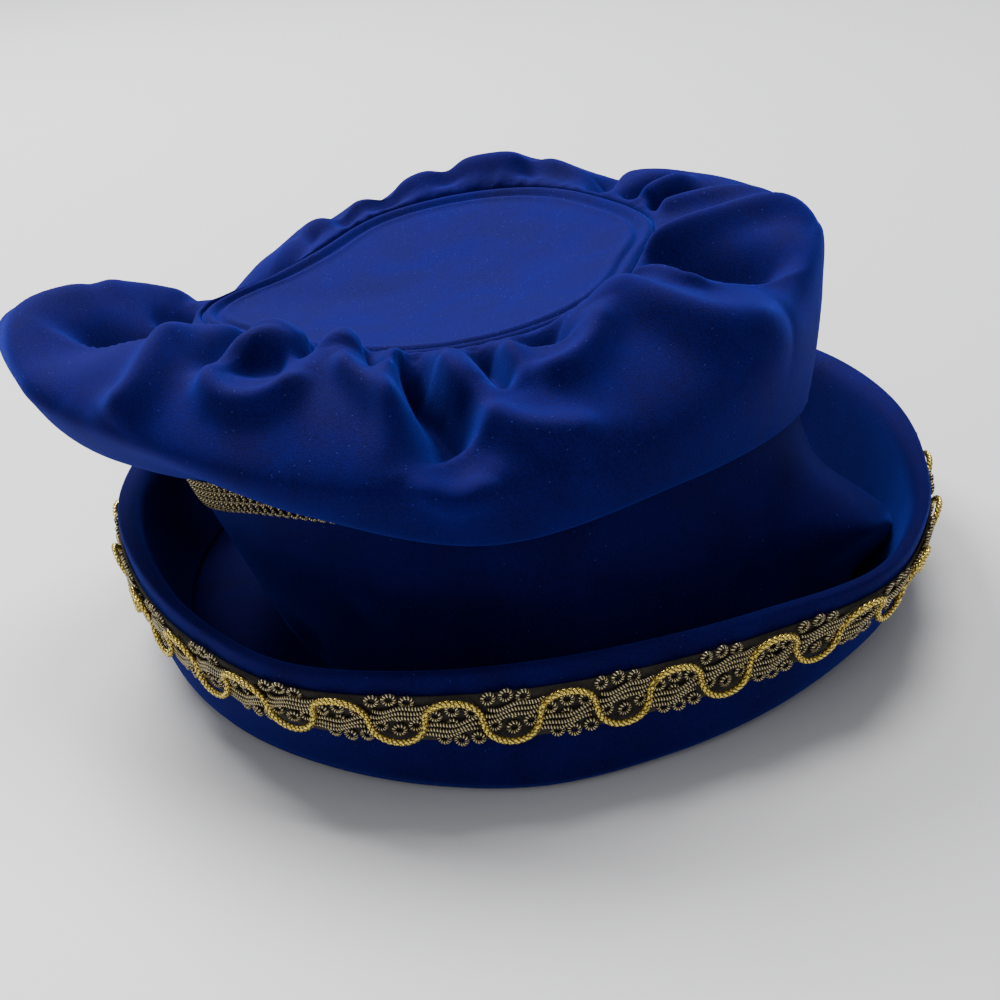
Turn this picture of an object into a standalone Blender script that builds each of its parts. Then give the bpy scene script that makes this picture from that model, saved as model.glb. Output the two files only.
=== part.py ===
"""A velvet cap with a gathered crown, a leaning side band and a turned up, braided brim.

The cap lies on a table at z = 0. A bearing is an angle round the head in degrees: 0 is the
front (-Y), 90 is the wearer's left hand side (+X) and -90 is the side that the crown slouches to (-X).
The tables are in millimetres, and every point is made into metres when it is placed.
"""

from collections import namedtuple
import math

import bmesh
import bpy
import numpy as np

MM = 0.001
GAP = 0.3  # clearance between two pieces that are sewn together
VELVET = 1.6  # one layer of velvet with its lining

# The middle of the cap's box, seen from the middle of the brim. It becomes the origin.
BOX_MIDDLE = np.array([-10.0, 1.1])

# Three centres, seen from the middle of the brim: the crown leans to the slouching side.
BRIM_CENTRE = np.array([0.0, 0.0])
BAND_CENTRE = np.array([-9.0, 0.0])
TIP_CENTRE = np.array([-16.0, 3.0])

# The seam between the tip and the puff lies in a tilted plane.
TIP_HEIGHT = 102.5
TIP_SLOPE = np.array([0.10, 0.06])
TIP_SAG = 5.0
SEAM_TAIL = 4.0  # depth of the puff's seam allowance beside the edge of the tip

BAND_RADIUS = 95.0  # outside of the stand at its top
FLANGE_THICK = 3.6  # the brim under the foot of the stand
BRIM_HEIGHT = 40.0

BRAID_LOW, BRAID_HIGH = 18.5, 36.0  # heights of the braid's edges on the brim
BRAID_THICK = 1.5
SCROLL_PERIODS = 27
SCROLL_SWING = math.radians(65.0)  # the steepest angle of the wave
SCROLL_SPREAD = 6.6  # half of the wave's height
SCROLL_RADIUS = 1.1
CROWN_BAND_WIDE = 10.0
CROWN_BAND_DROP = 2.5  # from the stand's top edge to the band's
CROWN_BAND_THICK = 1.0

PUFF_COLUMNS = 92
FRONT_DRAW = 18.0  # degrees by which the puff's columns crowd to the front
PLAIN_COLUMNS = 60

# The edge of the tip: its radius about the tip's own centre.
Seam = namedtuple("Seam", "bearing radius")
SEAM = [
    Seam(-92, 76), Seam(-72, 66), Seam(-50, 60), Seam(-25, 57), Seam(0, 58),
    Seam(25, 60), Seam(50, 61), Seam(75, 60), Seam(95, 65), Seam(125, 64),
    Seam(150, 66), Seam(180, 65), Seam(-160, 63), Seam(-130, 56), Seam(-110, 61),
]

# The stand: the outside of its foot, and the height of the seam at its top.
Stand = namedtuple("Stand", "bearing foot top")
STAND = [
    Stand(-90, 81, 54), Stand(-67, 83, 62), Stand(-40, 87, 75), Stand(-15, 96, 79),
    Stand(15, 103, 81), Stand(38, 106, 82), Stand(58, 109, 79), Stand(76, 103, 73),
    Stand(92, 97, 67), Stand(120, 98, 61), Stand(150, 98, 57), Stand(180, 97, 54),
    Stand(-150, 94, 52), Stand(-120, 86, 51),
]

# The brim: its outer wall at the table and at the line of the gold cord, and its padding.
Brim = namedtuple("Brim", "bearing foot edge thick")
BRIM = [
    Brim(-90, 119, 127, 8.0), Brim(-65, 119, 124.5, 6.5), Brim(-45, 120.5, 127, 5.0),
    Brim(-31, 121, 130, 4.8), Brim(-15, 122, 126.5, 4.8), Brim(0, 122.5, 123, 4.8),
    Brim(15, 119.5, 121.5, 4.8), Brim(30, 118, 124, 5.0), Brim(48, 118, 132, 5.0),
    Brim(62, 121, 131, 5.5), Brim(78, 122, 128.5, 7.0), Brim(100, 121, 129, 8.5),
    Brim(120, 121, 130, 8.5), Brim(150, 120, 127, 6.5), Brim(180, 120, 126, 6.0),
    Brim(-150, 120, 127, 6.5), Brim(-120, 120, 129, 8.0),
]
EDGE_AT = 35.0  # the height at which the column "edge" is measured

# The puff, outwards from its seam with the tip: the crest, the widest bulge and the underside.
Puff = namedtuple("Puff", "bearing crest_r crest_z bulge_r bulge_z under_r under_z")
PUFF = [
    Puff(-104, 98, 98, 130, 88, 116, 60),
    Puff(-93, 112, 107, 140, 94, 120, 65),
    Puff(-72, 105, 105, 130, 90, 116, 69),
    Puff(-50, 92, 103, 116, 91, 107, 78),
    Puff(-25, 84, 102, 111, 88, 104, 75),
    Puff(0, 82, 102, 110, 86, 104, 67),
    Puff(30, 84, 105, 109, 91, 104, 72),
    Puff(60, 92, 110, 106, 95, 103, 69),
    Puff(85, 105, 115, 109, 95, 102, 59),
    Puff(105, 98, 114, 110, 94, 103, 58),
    Puff(125, 88, 115, 110, 94, 103, 58),
    Puff(142, 80, 109, 108, 90, 103, 58),
    Puff(158, 82, 115, 108, 92, 103, 58),
    Puff(178, 80, 115, 108, 90, 103, 56),
    Puff(-166, 76, 109, 106, 88, 103, 54),
    Puff(-148, 70, 106, 102, 84, 102, 54),
    Puff(-134, 68, 104, 100, 78, 102, 52),
    Puff(-118, 78, 92, 114, 81, 108, 54),
]
PUFF_STEPS = [0.0, 0.05, 0.12, 0.20, 0.28, 0.36, 0.44, 0.52, 0.61, 0.71, 0.82, 0.92, 1.0]

# Folds of the velvet. A fold runs from its near to its far bearing while the step goes from start
# to end, is highest (or deepest, below zero) at full, and its half widths are in degrees.
Fold = namedtuple("Fold", "height near_at far_at near_wide far_wide start full end")
PUFF_FOLDS = [
    Fold(-16, -77, -68, 7, 17, 0.08, 0.36, 0.60),  # the great hollow in the slouching lobe
    Fold(5, -68, -56, 5, 9, 0.10, 0.35, 0.62),
    Fold(-7, -60, -43, 4, 6, 0.07, 0.25, 0.50),
    Fold(6, -48, -46, 9, 10, 0.06, 0.13, 0.24),
    Fold(-3, -46, -42, 8, 9, 0.16, 0.25, 0.34),
    Fold(4, -38, -40, 9, 10, 0.28, 0.36, 0.52),
    Fold(-8, -37, -37, 4, 4, 0.06, 0.15, 0.27),
    Fold(9, -29, -31, 5, 7, 0.06, 0.15, 0.42),
    Fold(-8, -20, -19, 4, 5, 0.06, 0.20, 0.34),
    Fold(4, -14, -12, 4, 6, 0.08, 0.30, 0.52),
    Fold(-17, -9, -3, 4.5, 8, 0.10, 0.42, 0.57),  # the deep drop at the front
    Fold(4, -3, 3, 4, 5, 0.10, 0.30, 0.50),
    Fold(-8, 6, 7, 4, 5, 0.12, 0.36, 0.46),
    Fold(7, 13, 9, 4, 5, 0.06, 0.13, 0.40),
    Fold(-4, 22, 20, 9, 9, 0.12, 0.24, 0.34),
    Fold(4, 18, 20, 10, 12, 0.24, 0.32, 0.46),
    Fold(-4, 10, 13, 8, 8, 0.34, 0.41, 0.48),
    Fold(4, 8, 16, 8, 14, 0.42, 0.49, 0.62),
    Fold(10, 46, 45, 9, 9, 0.06, 0.14, 0.48),
    Fold(5, 44, 52, 8, 9, 0.20, 0.40, 0.60),
    Fold(-16, 72, 66, 9, 16, 0.07, 0.24, 0.50),  # the big hollow at the far side
    Fold(3, 56, 54, 4, 5, 0.10, 0.25, 0.38),
    Fold(6, 92, 98, 7, 9, 0.07, 0.20, 0.45),
    Fold(-5, 104, 103, 4, 5, 0.06, 0.14, 0.30),
    Fold(4, 112, 110, 4, 6, 0.06, 0.14, 0.32),
    Fold(-5, 119, 118, 4, 5, 0.06, 0.13, 0.30),
    Fold(3, 126, 128, 5, 7, 0.06, 0.18, 0.42),
    Fold(-5, 141, 142, 5, 8, 0.06, 0.20, 0.48),
    Fold(-4, 160, 163, 4, 6, 0.06, 0.15, 0.40),
    Fold(3, 169, 171, 5, 6, 0.06, 0.15, 0.40),
    Fold(-4, 178, 180, 4, 7, 0.06, 0.15, 0.45),
    Fold(-5, -169, -166, 4, 7, 0.06, 0.16, 0.50),
    Fold(-5, -153, -151, 4, 6, 0.06, 0.16, 0.45),
    Fold(-4, -138, -136, 4, 7, 0.06, 0.16, 0.55),
    Fold(-5, -122, -120, 4, 7, 0.06, 0.18, 0.55),
    Fold(-6, -106, -104, 4, 9, 0.06, 0.20, 0.60),
    Fold(-5, -88, -88, 4, 6, 0.06, 0.14, 0.32),
]
STAND_FOLDS = [
    Fold(18, 42, 88, 17, 9, 0.0, 0.30, 0.80),  # the tent like fold down to the brim
    Fold(-7, 84, 104, 14, 10, 0.0, 0.40, 0.78),
    Fold(-4, -62, -20, 10, 12, 0.0, 0.20, 0.60),
]


def around(table, column, bearing):
    """The value of a column at any bearing, on a smooth closed curve through the table's rows."""
    rows = sorted(table, key=lambda row: row.bearing)
    knots = np.array([row.bearing for row in rows], float)
    values = np.array([getattr(row, column) for row in rows], float)
    knots = np.concatenate([knots[-2:] - 360, knots, knots[:2] + 360])
    values = np.concatenate([values[-2:], values, values[:2]])
    wrapped = (np.asarray(bearing, float) - rows[0].bearing) % 360 + rows[0].bearing
    return curve(knots, values, wrapped)


def curve(knots, values, at):
    """A smooth curve through values at knots, read at the given places."""
    slopes = np.gradient(values, knots)
    left = np.clip(np.searchsorted(knots, at, side="right") - 1, 0, len(knots) - 2)
    span = knots[left + 1] - knots[left]
    u = (at - knots[left]) / span
    return (
        values[left] * (1 + 2 * u) * (1 - u) ** 2
        + values[left + 1] * u * u * (3 - 2 * u)
        + slopes[left] * span * u * (1 - u) ** 2
        - slopes[left + 1] * span * u * u * (1 - u)
    )


def outwards(bearing):
    """The level direction of a bearing."""
    angle = np.radians(bearing)
    return np.stack([np.sin(angle), -np.cos(angle)], axis=-1)


def seam_height(places):
    """The height of the tip's plane over level places."""
    return TIP_HEIGHT + (places - TIP_CENTRE) @ TIP_SLOPE


def folded(folds, bearing, step):
    """The height of all the folds together at each bearing and step."""
    total = np.zeros(np.broadcast(bearing, step).shape)
    for fold in folds:
        run = np.clip((step - fold.start) / (fold.end - fold.start), 0, 1)
        middle = fold.near_at + (fold.far_at - fold.near_at) * run
        wide = fold.near_wide + (fold.far_wide - fold.near_wide) * run
        aside = ((bearing - middle + 180) % 360 - 180) / wide
        rise = np.clip((step - fold.start) / (fold.full - fold.start), 0, 1)
        fall = np.clip((fold.end - step) / (fold.end - fold.full), 0, 1)
        total += fold.height * bell(aside) * ease(rise) * ease(fall)
    return total


def bell(aside):
    """One in the middle, and nothing past one on either side."""
    return 0.5 + 0.5 * np.cos(np.pi * np.clip(aside, -1, 1))


def ease(share):
    return share * share * (3 - 2 * share)


def puff_surface(bearing, step):
    """The velvet side of the puff with its folds, which stand square to the smooth form."""
    height = folded(PUFF_FOLDS, bearing, step)
    return puff_form(bearing, step) + height[..., None] * facing(puff_form, bearing, step)


def puff_form(bearing, step):
    """The smooth form of the puff: step 0 is its seam with the tip, step 1 with the stand."""
    bearing, step = np.broadcast_arrays(np.asarray(bearing, float), np.asarray(step, float))
    way = outwards(bearing)
    seam_r = around(SEAM, "radius", bearing) + GAP
    seam_z = seam_height(TIP_CENTRE + way * seam_r[..., None])
    column = {name: around(PUFF, name, bearing) for name in Puff._fields[1:]}
    top = around(STAND, "top", bearing) + 2 * GAP
    knots = np.array([-0.1, 0.0, 0.05, 0.14, 0.36, 0.60, 0.80, 0.92, 1.0, 1.1])
    rise = 0.55 * (column["crest_z"] - seam_z)
    lip = BAND_RADIUS + GAP + CROWN_BAND_THICK + 2.4
    radii = [
        seam_r, seam_r, seam_r, seam_r + 5, column["crest_r"], column["bulge_r"],
        column["under_r"], lip + 0 * top, BAND_RADIUS - 2.5 + 0 * top,
        BAND_RADIUS - 6 + 0 * top,
    ]
    heights = [
        seam_z - SEAM_TAIL - 5, seam_z - SEAM_TAIL, seam_z, seam_z + rise, column["crest_z"],
        column["bulge_z"], column["under_z"], top - 0.4, top, top,
    ]
    radius, height = (section(knots, np.stack(line, axis=-1), step) for line in (radii, heights))
    lean = np.clip((step - 0.05) / 0.95, 0, 1)[..., None]
    centre = TIP_CENTRE * (1 - lean) + BAND_CENTRE * lean
    return np.concatenate([centre + way * radius[..., None], height[..., None]], axis=-1)


def section(knots, lines, step):
    """A smooth curve through the last axis of lines, read at each step."""
    slopes = np.gradient(lines, knots, axis=-1)
    left = np.clip(np.searchsorted(knots, step, side="right") - 1, 0, len(knots) - 2)
    span = knots[left + 1] - knots[left]
    u = (step - knots[left]) / span

    def pick(values, index):
        return np.take_along_axis(values, index[..., None], axis=-1)[..., 0]

    return (
        pick(lines, left) * (1 + 2 * u) * (1 - u) ** 2
        + pick(lines, left + 1) * u * u * (3 - 2 * u)
        + pick(slopes, left) * span * u * (1 - u) ** 2
        - pick(slopes, left + 1) * span * u * u * (1 - u)
    )


def stand_surface(bearing, step):
    """The outside of the stand: step 0 is its foot on the brim, step 1 the seam at its top."""
    bearing, step = np.broadcast_arrays(np.asarray(bearing, float), np.asarray(step, float))
    way = outwards(bearing)
    foot = around(STAND, "foot", bearing)
    low = FLANGE_THICK + GAP
    radius = foot + (BAND_RADIUS - foot) * step + folded(STAND_FOLDS, bearing, step)
    height = low + (around(STAND, "top", bearing) - low) * step
    centre = BRIM_CENTRE * (1 - step[..., None]) + BAND_CENTRE * step[..., None]
    return np.concatenate([centre + way * radius[..., None], height[..., None]], axis=-1)


def brim_wall(bearing, height):
    """The radius of the brim's outer wall at a height."""
    foot = around(BRIM, "foot", bearing)
    return foot + (around(BRIM, "edge", bearing) - foot) * height / EDGE_AT


def brim_section(bearing):
    """The closed outline of the brim at one bearing, as radii and heights."""
    foot = brim_wall(bearing, 0.0)
    inner = around(STAND, "foot", bearing) - VELVET - 3.0
    lean = (brim_wall(bearing, EDGE_AT) - foot) / EDGE_AT
    thick = float(around(BRIM, "thick", bearing))
    top = BRIM_HEIGHT
    return [
        (inner, 0.0), (foot - 6.0, 0.0), (foot - 1.6, 1.7), (foot + 6.5 * lean, 6.5),
        (foot + 20 * lean, 20.0), (foot + (top - 3) * lean - 0.2, top - 3),
        (foot + top * lean - 2.4, top), (foot + (top - 3) * lean - thick + 0.3, top - 2.6),
        (foot + 20 * lean - thick, 20.0), (foot + 10 * lean - thick - 0.8, 10.0),
        (foot - thick - 2.0, 5.4), (foot - thick - 4.5, FLANGE_THICK), (inner, FLANGE_THICK),
    ]


def placed(points):
    """Points in metres, seen from the middle of the cap's box."""
    moved = np.array(points, float)
    moved[..., :2] -= BOX_MIDDLE
    return moved * MM


def facing(surface, bearing, step):
    """The outward unit normal of a surface."""
    turn, climb = 0.6, 0.004
    across = surface(bearing + turn, step) - surface(bearing - turn, step)
    along = surface(bearing, step + climb) - surface(bearing, step - climb)
    normal = np.cross(along, across)
    return normal / np.linalg.norm(normal, axis=-1, keepdims=True)


def turned(profile, columns, closed):
    """A plain turned body: the profile's points carry their own number as a radius and a height."""
    mesh = bmesh.new()
    points = [mesh.verts.new((radius, 0.0, height)) for radius, height in profile]
    pairs = list(zip(points, points[1:]))
    if closed:
        pairs.append((points[-1], points[0]))
    edges = [mesh.edges.new(pair) for pair in pairs]
    bmesh.ops.spin(
        mesh, geom=points + edges, cent=(0, 0, 0), axis=(0, 0, 1), dvec=(0, 0, 0),
        angle=math.tau, steps=columns, use_merge=True,
    )
    return mesh


def finished(name, mesh, colour, roughness, metallic=0.0):
    """An object of its own, with its faces outwards, its material and soft shading."""
    mesh.normal_update()
    bmesh.ops.recalc_face_normals(mesh, faces=mesh.faces)
    data = bpy.data.meshes.new(name)
    mesh.to_mesh(data)
    mesh.free()
    data.shade_smooth()
    data.set_sharp_from_angle(angle=math.radians(50))
    material = bpy.data.materials.new(name)
    material.use_nodes = True
    shader = material.node_tree.nodes["Principled BSDF"]
    shader.inputs["Base Color"].default_value = (*colour, 1.0)
    shader.inputs["Roughness"].default_value = roughness
    shader.inputs["Metallic"].default_value = metallic
    data.materials.append(material)
    thing = bpy.data.objects.new(name, data)
    bpy.context.collection.objects.link(thing)
    return thing


def shell(name, columns, outer, inner, colour):
    """A closed wall of cloth between two grids of points with one row for each bearing."""
    rows = outer.shape[1]
    profile = [(2.0, row) for row in range(rows)] + [(1.0, row) for row in reversed(range(rows))]
    mesh = turned(profile, columns, closed=True)
    for vertex in mesh.verts:
        column = round(math.atan2(vertex.co.y, vertex.co.x) / math.tau * columns) % columns
        row = round(vertex.co.z)
        side = outer if vertex.co.xy.length > 1.5 else inner
        vertex.co = side[column, row]
    return finished(name, mesh, colour, 0.85)


def bearings(columns):
    return np.arange(columns) * 360.0 / columns


def front_bearings(columns):
    """Bearings that stand closer together at the front, where the folds are finest."""
    even = np.arange(columns) * 360.0 / columns
    return even - FRONT_DRAW * np.sin(np.radians(even))


def make_puff():
    grid, steps = np.meshgrid(front_bearings(PUFF_COLUMNS), PUFF_STEPS, indexing="ij")
    outer = puff_surface(grid, steps)
    inner = outer - VELVET * facing(puff_surface, grid, steps)
    return shell("puff", PUFF_COLUMNS, placed(outer), placed(inner), (0.01, 0.03, 0.3))


def band_step(bearing, fall):
    """The stand's step at the crown band: fall is 0 at its top edge and 1 at its lower edge."""
    height = around(STAND, "top", bearing) - FLANGE_THICK - GAP
    return 1 - (CROWN_BAND_DROP + CROWN_BAND_WIDE * fall) / height


def make_stand():
    shares = np.array([0, 0.25, 0.5, 0.75, 1.0, np.inf])
    grid, share = np.meshgrid(bearings(PLAIN_COLUMNS), shares, indexing="ij")
    steps = np.minimum(share * band_step(grid, 1.0), 1.0)
    outer = stand_surface(grid, steps)
    inner = outer.copy()
    inner[..., :2] -= VELVET * outwards(grid)
    return shell("stand", PLAIN_COLUMNS, placed(outer), placed(inner), (0.01, 0.02, 0.22))


def make_crown_band():
    grid, fall = np.meshgrid(bearings(PLAIN_COLUMNS), (0.0, 1.0), indexing="ij")
    near = stand_surface(grid, band_step(grid, fall))
    far = near.copy()
    near[..., :2] += GAP * outwards(grid)
    far[..., :2] += (GAP + CROWN_BAND_THICK) * outwards(grid)
    return shell("crown_band", PLAIN_COLUMNS, placed(far), placed(near), (0.35, 0.27, 0.1))


def make_tip():
    """The round top: level rings from the middle to the edge, sagging a little."""
    rings = np.array([0.0, 0.42, 0.80, 1.0])
    profile = [(ring, 1.0) for ring in rings] + [(ring, 0.0) for ring in rings[::-1]]
    mesh = turned(profile, PUFF_COLUMNS, closed=False)
    bmesh.ops.remove_doubles(mesh, verts=mesh.verts, dist=1e-5)
    for vertex in mesh.verts:
        ring = vertex.co.xy.length
        column = round(math.atan2(vertex.co.y, vertex.co.x) / math.tau * PUFF_COLUMNS)
        bearing = front_bearings(PUFF_COLUMNS)[column % PUFF_COLUMNS]
        place = TIP_CENTRE + outwards(bearing) * around(SEAM, "radius", bearing) * ring
        height = seam_height(place) - TIP_SAG * (1 - ring**2) ** 1.5
        if vertex.co.z < 0.5:
            height -= VELVET
        vertex.co = placed([*place, height])
    return finished("tip", mesh, (0.01, 0.04, 0.35), 0.85)


def make_brim():
    count = len(brim_section(0.0))
    angles = bearings(PLAIN_COLUMNS)
    loops = np.array([brim_section(angle) for angle in angles])
    flat = np.concatenate(
        [outwards(angles)[:, None, :] * loops[..., :1], loops[..., 1:]], axis=-1
    )
    flat = placed(flat)
    profile = [(2 + math.cos(k), math.sin(k)) for k in np.arange(count) * math.tau / count]
    mesh = turned(profile, PLAIN_COLUMNS, closed=True)
    for vertex in mesh.verts:
        column = round(math.atan2(vertex.co.y, vertex.co.x) / math.tau * PLAIN_COLUMNS)
        turn = math.atan2(vertex.co.z, vertex.co.xy.length - 2)
        vertex.co = flat[column % PLAIN_COLUMNS, round(turn / math.tau * count) % count]
    return finished("brim", mesh, (0.01, 0.02, 0.25), 0.85)


def make_braid():
    grid, height = np.meshgrid(bearings(PLAIN_COLUMNS), (BRAID_HIGH, BRAID_LOW), indexing="ij")
    walls = []
    for proud in (1.5 * GAP + BRAID_THICK, 1.5 * GAP):
        radius = brim_wall(grid, height) + proud
        walls.append(np.concatenate([outwards(grid) * radius[..., None], height[..., None]], -1))
    far, near = (placed(wall) for wall in walls)
    return shell("brim_braid", PLAIN_COLUMNS, far, near, (0.2, 0.15, 0.06))


def make_scroll_cord():
    """The gold cord: a wave whose angle swings evenly along its length, so its turns are round."""
    points_each, sides = 9, 4
    fine = 64
    swing = SCROLL_SWING * np.cos(np.arange(fine) * math.tau / fine)
    across = np.concatenate([[0], np.cumsum(np.cos(swing))])
    climb = np.concatenate([[0], np.cumsum(np.sin(swing))])
    across = across / across[-1]
    climb = climb - (climb.max() + climb.min()) / 2
    climb = climb / climb.max() * SCROLL_SPREAD
    count = SCROLL_PERIODS * points_each
    middle = (BRAID_HIGH + BRAID_LOW) / 2
    along = np.arange(count) / points_each
    part = np.linspace(0, 1, fine + 1)
    turn = np.floor(along) + np.interp(along % 1, part, across)
    bearing = turn * 360.0 / SCROLL_PERIODS
    height = middle + np.interp(along % 1, part, climb)
    radius = brim_wall(bearing, height) + 3 * GAP + BRAID_THICK + SCROLL_RADIUS
    way = outwards(bearing)
    path = np.concatenate([way * radius[:, None], height[:, None]], axis=-1)
    ahead = np.roll(path, -1, axis=0) - np.roll(path, 1, axis=0)
    ahead /= np.linalg.norm(ahead, axis=-1, keepdims=True)
    out = np.concatenate([way, np.zeros((count, 1))], axis=-1)
    side = np.cross(ahead, out)
    side /= np.linalg.norm(side, axis=-1, keepdims=True)
    turns = (np.arange(sides) + 0.5) * math.tau / sides
    ring = out[:, None] * np.cos(turns)[:, None] + side[:, None] * np.sin(turns)[:, None]
    tube = placed(path[:, None] + SCROLL_RADIUS * ring * 1.2)
    profile = [(2 + math.cos(k), math.sin(k)) for k in turns]
    mesh = turned(profile, count, closed=True)
    for vertex in mesh.verts:
        column = round(math.atan2(vertex.co.y, vertex.co.x) / math.tau * count) % count
        angle = math.atan2(vertex.co.z, vertex.co.xy.length - 2) % math.tau
        vertex.co = tube[column, round(angle / math.tau * sides - 0.5) % sides]
    return finished("scroll_cord", mesh, (0.8, 0.6, 0.2), 0.3, metallic=1.0)


def main():
    for thing in list(bpy.data.objects):
        bpy.data.objects.remove(thing)
    make_tip()
    make_puff()
    make_stand()
    make_crown_band()
    make_brim()
    make_braid()
    make_scroll_cord()


main()
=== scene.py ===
# %% [markdown]
# # A velvet cap with a gathered crown and a turned up brim
#
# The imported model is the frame: seven plain solids with the cap's true size and place. Each soft
# solid is replaced here by a finer piece of cloth that is made from the same few named sizes.

# %% Load the frame
from collections import namedtuple
import math

import bmesh
import bpy
from mathutils import Matrix, Vector
import numpy as np


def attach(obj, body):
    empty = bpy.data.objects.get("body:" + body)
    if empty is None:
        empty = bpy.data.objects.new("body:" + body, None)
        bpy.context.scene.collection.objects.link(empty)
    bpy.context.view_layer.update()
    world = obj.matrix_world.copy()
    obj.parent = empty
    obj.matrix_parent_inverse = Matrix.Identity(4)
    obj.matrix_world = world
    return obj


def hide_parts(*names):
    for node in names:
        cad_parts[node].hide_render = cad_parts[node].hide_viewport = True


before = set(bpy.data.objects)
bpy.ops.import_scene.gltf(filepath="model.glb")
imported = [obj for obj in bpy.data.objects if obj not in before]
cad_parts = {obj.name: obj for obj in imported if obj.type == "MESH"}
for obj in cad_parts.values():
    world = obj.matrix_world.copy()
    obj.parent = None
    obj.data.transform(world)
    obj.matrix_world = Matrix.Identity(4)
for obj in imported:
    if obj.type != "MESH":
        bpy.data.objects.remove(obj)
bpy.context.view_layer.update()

# %% [markdown]
# ## Sizes
# A milliner works from a few measures: the round of the tip, the depth of the side band, the width
# of the brim. The tables hold them by bearing: an angle round the head in degrees, 0 at the front
# (-Y), 90 at +X and -90 at the side that the crown slouches to. Sizes are in millimetres.

# %% The cap's measures
MM = 0.001
GAP = 0.3  # clearance between two pieces that are sewn together
VELVET = 1.6  # one layer of velvet with its lining

BOX_MIDDLE = np.array([-10.0, 1.1])  # the origin, seen from the middle of the brim
BRIM_CENTRE = np.array([0.0, 0.0])
BAND_CENTRE = np.array([-9.0, 0.0])
TIP_CENTRE = np.array([-16.0, 3.0])
TIP_HEIGHT = 102.5
TIP_SLOPE = np.array([0.10, 0.06])
TIP_SAG = 5.0
SEAM_TAIL = 4.0
BAND_RADIUS = 95.0
FLANGE_THICK = 3.6
BRIM_HEIGHT = 40.0
BRAID_LOW, BRAID_HIGH = 18.5, 36.0
BRAID_THICK = 1.5
SCROLL_PERIODS = 27
CROWN_BAND_WIDE = 9.0
CROWN_BAND_DROP = 2.5
CROWN_BAND_THICK = 1.0

# %% The edge of the tip and the side band
Seam = namedtuple("Seam", "bearing radius")
SEAM = [
    Seam(-92, 76), Seam(-72, 66), Seam(-50, 60), Seam(-25, 57), Seam(0, 58),
    Seam(25, 60), Seam(50, 61), Seam(75, 60), Seam(95, 65), Seam(125, 64),
    Seam(150, 66), Seam(180, 65), Seam(-160, 63), Seam(-130, 56), Seam(-110, 61),
]
Stand = namedtuple("Stand", "bearing foot top")
STAND = [
    Stand(-90, 81, 54), Stand(-67, 83, 62), Stand(-40, 87, 75), Stand(-15, 96, 79),
    Stand(15, 103, 81), Stand(38, 106, 82), Stand(58, 109, 79), Stand(76, 103, 73),
    Stand(92, 97, 67), Stand(120, 98, 61), Stand(150, 98, 57), Stand(180, 97, 54),
    Stand(-150, 94, 52), Stand(-120, 86, 51),
]

# %% The brim's wall and the puff's three rings: its crest, its widest bulge and its underside
EDGE_AT = 35.0
Brim = namedtuple("Brim", "bearing foot edge thick")
BRIM = [
    Brim(-90, 119, 127, 8.0), Brim(-65, 119, 124.5, 6.5), Brim(-45, 120.5, 127, 5.0),
    Brim(-31, 121, 130, 4.8), Brim(-15, 122, 126.5, 4.8), Brim(0, 122.5, 123, 4.8),
    Brim(15, 119.5, 121.5, 4.8), Brim(30, 118, 124, 5.0), Brim(48, 118, 132, 5.0),
    Brim(62, 121, 131, 5.5), Brim(78, 122, 128.5, 7.0), Brim(100, 121, 129, 8.5),
    Brim(120, 121, 130, 8.5), Brim(150, 120, 127, 6.5), Brim(180, 120, 126, 6.0),
    Brim(-150, 120, 127, 6.5), Brim(-120, 120, 129, 8.0),
]
Puff = namedtuple("Puff", "bearing roll crest_r crest_z bulge_r bulge_z under_r under_z")
PUFF = [
    Puff(-104, -1, 98, 95, 128, 86, 116, 60),
    Puff(-93, -3, 113, 103, 140, 96, 120, 65),
    Puff(-72, 1, 105, 105, 130, 91, 116, 69),
    Puff(-50, 4, 92, 104, 116, 90, 107, 77),
    Puff(-25, 5, 85, 102, 111, 86, 104, 73),
    Puff(0, 1.5, 83, 101, 110, 84, 104, 66),
    Puff(30, 3.5, 85, 105, 109, 90, 104, 71),
    Puff(60, 2, 93, 110, 107, 95, 103, 67),
    Puff(85, 0, 105, 112, 109, 95, 102, 57),
    Puff(105, 0, 98, 114, 110, 94, 103, 58),
    Puff(125, 0, 88, 114, 110, 94, 103, 58),
    Puff(142, 0, 82, 111, 108, 91, 103, 58),
    Puff(158, 0, 82, 116.5, 108, 92, 103, 58),
    Puff(178, 0, 82, 114.5, 108, 90, 103, 56),
    Puff(-166, 0, 80, 109.5, 106, 88, 103, 54),
    Puff(-148, 0, 76, 105, 103, 84, 102, 54),
    Puff(-134, 0, 76, 103, 101, 81, 102, 52),
    Puff(-118, 0, 80, 86, 109, 73, 107, 54),
]

# %% [markdown]
# ## Folds
# Gathered velvet falls in crests and hollows that start at the seam and run out over the puff. They
# could be sculpted by hand or simulated. Here each is one row: how high it stands (or how deep,
# below zero), its half width at both ends, how round it is (2 is round, near 1 is a sharp crease),
# and the path of its middle as bearings and steps. Step 0 is the puff's upper seam, 1 its lower.

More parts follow.
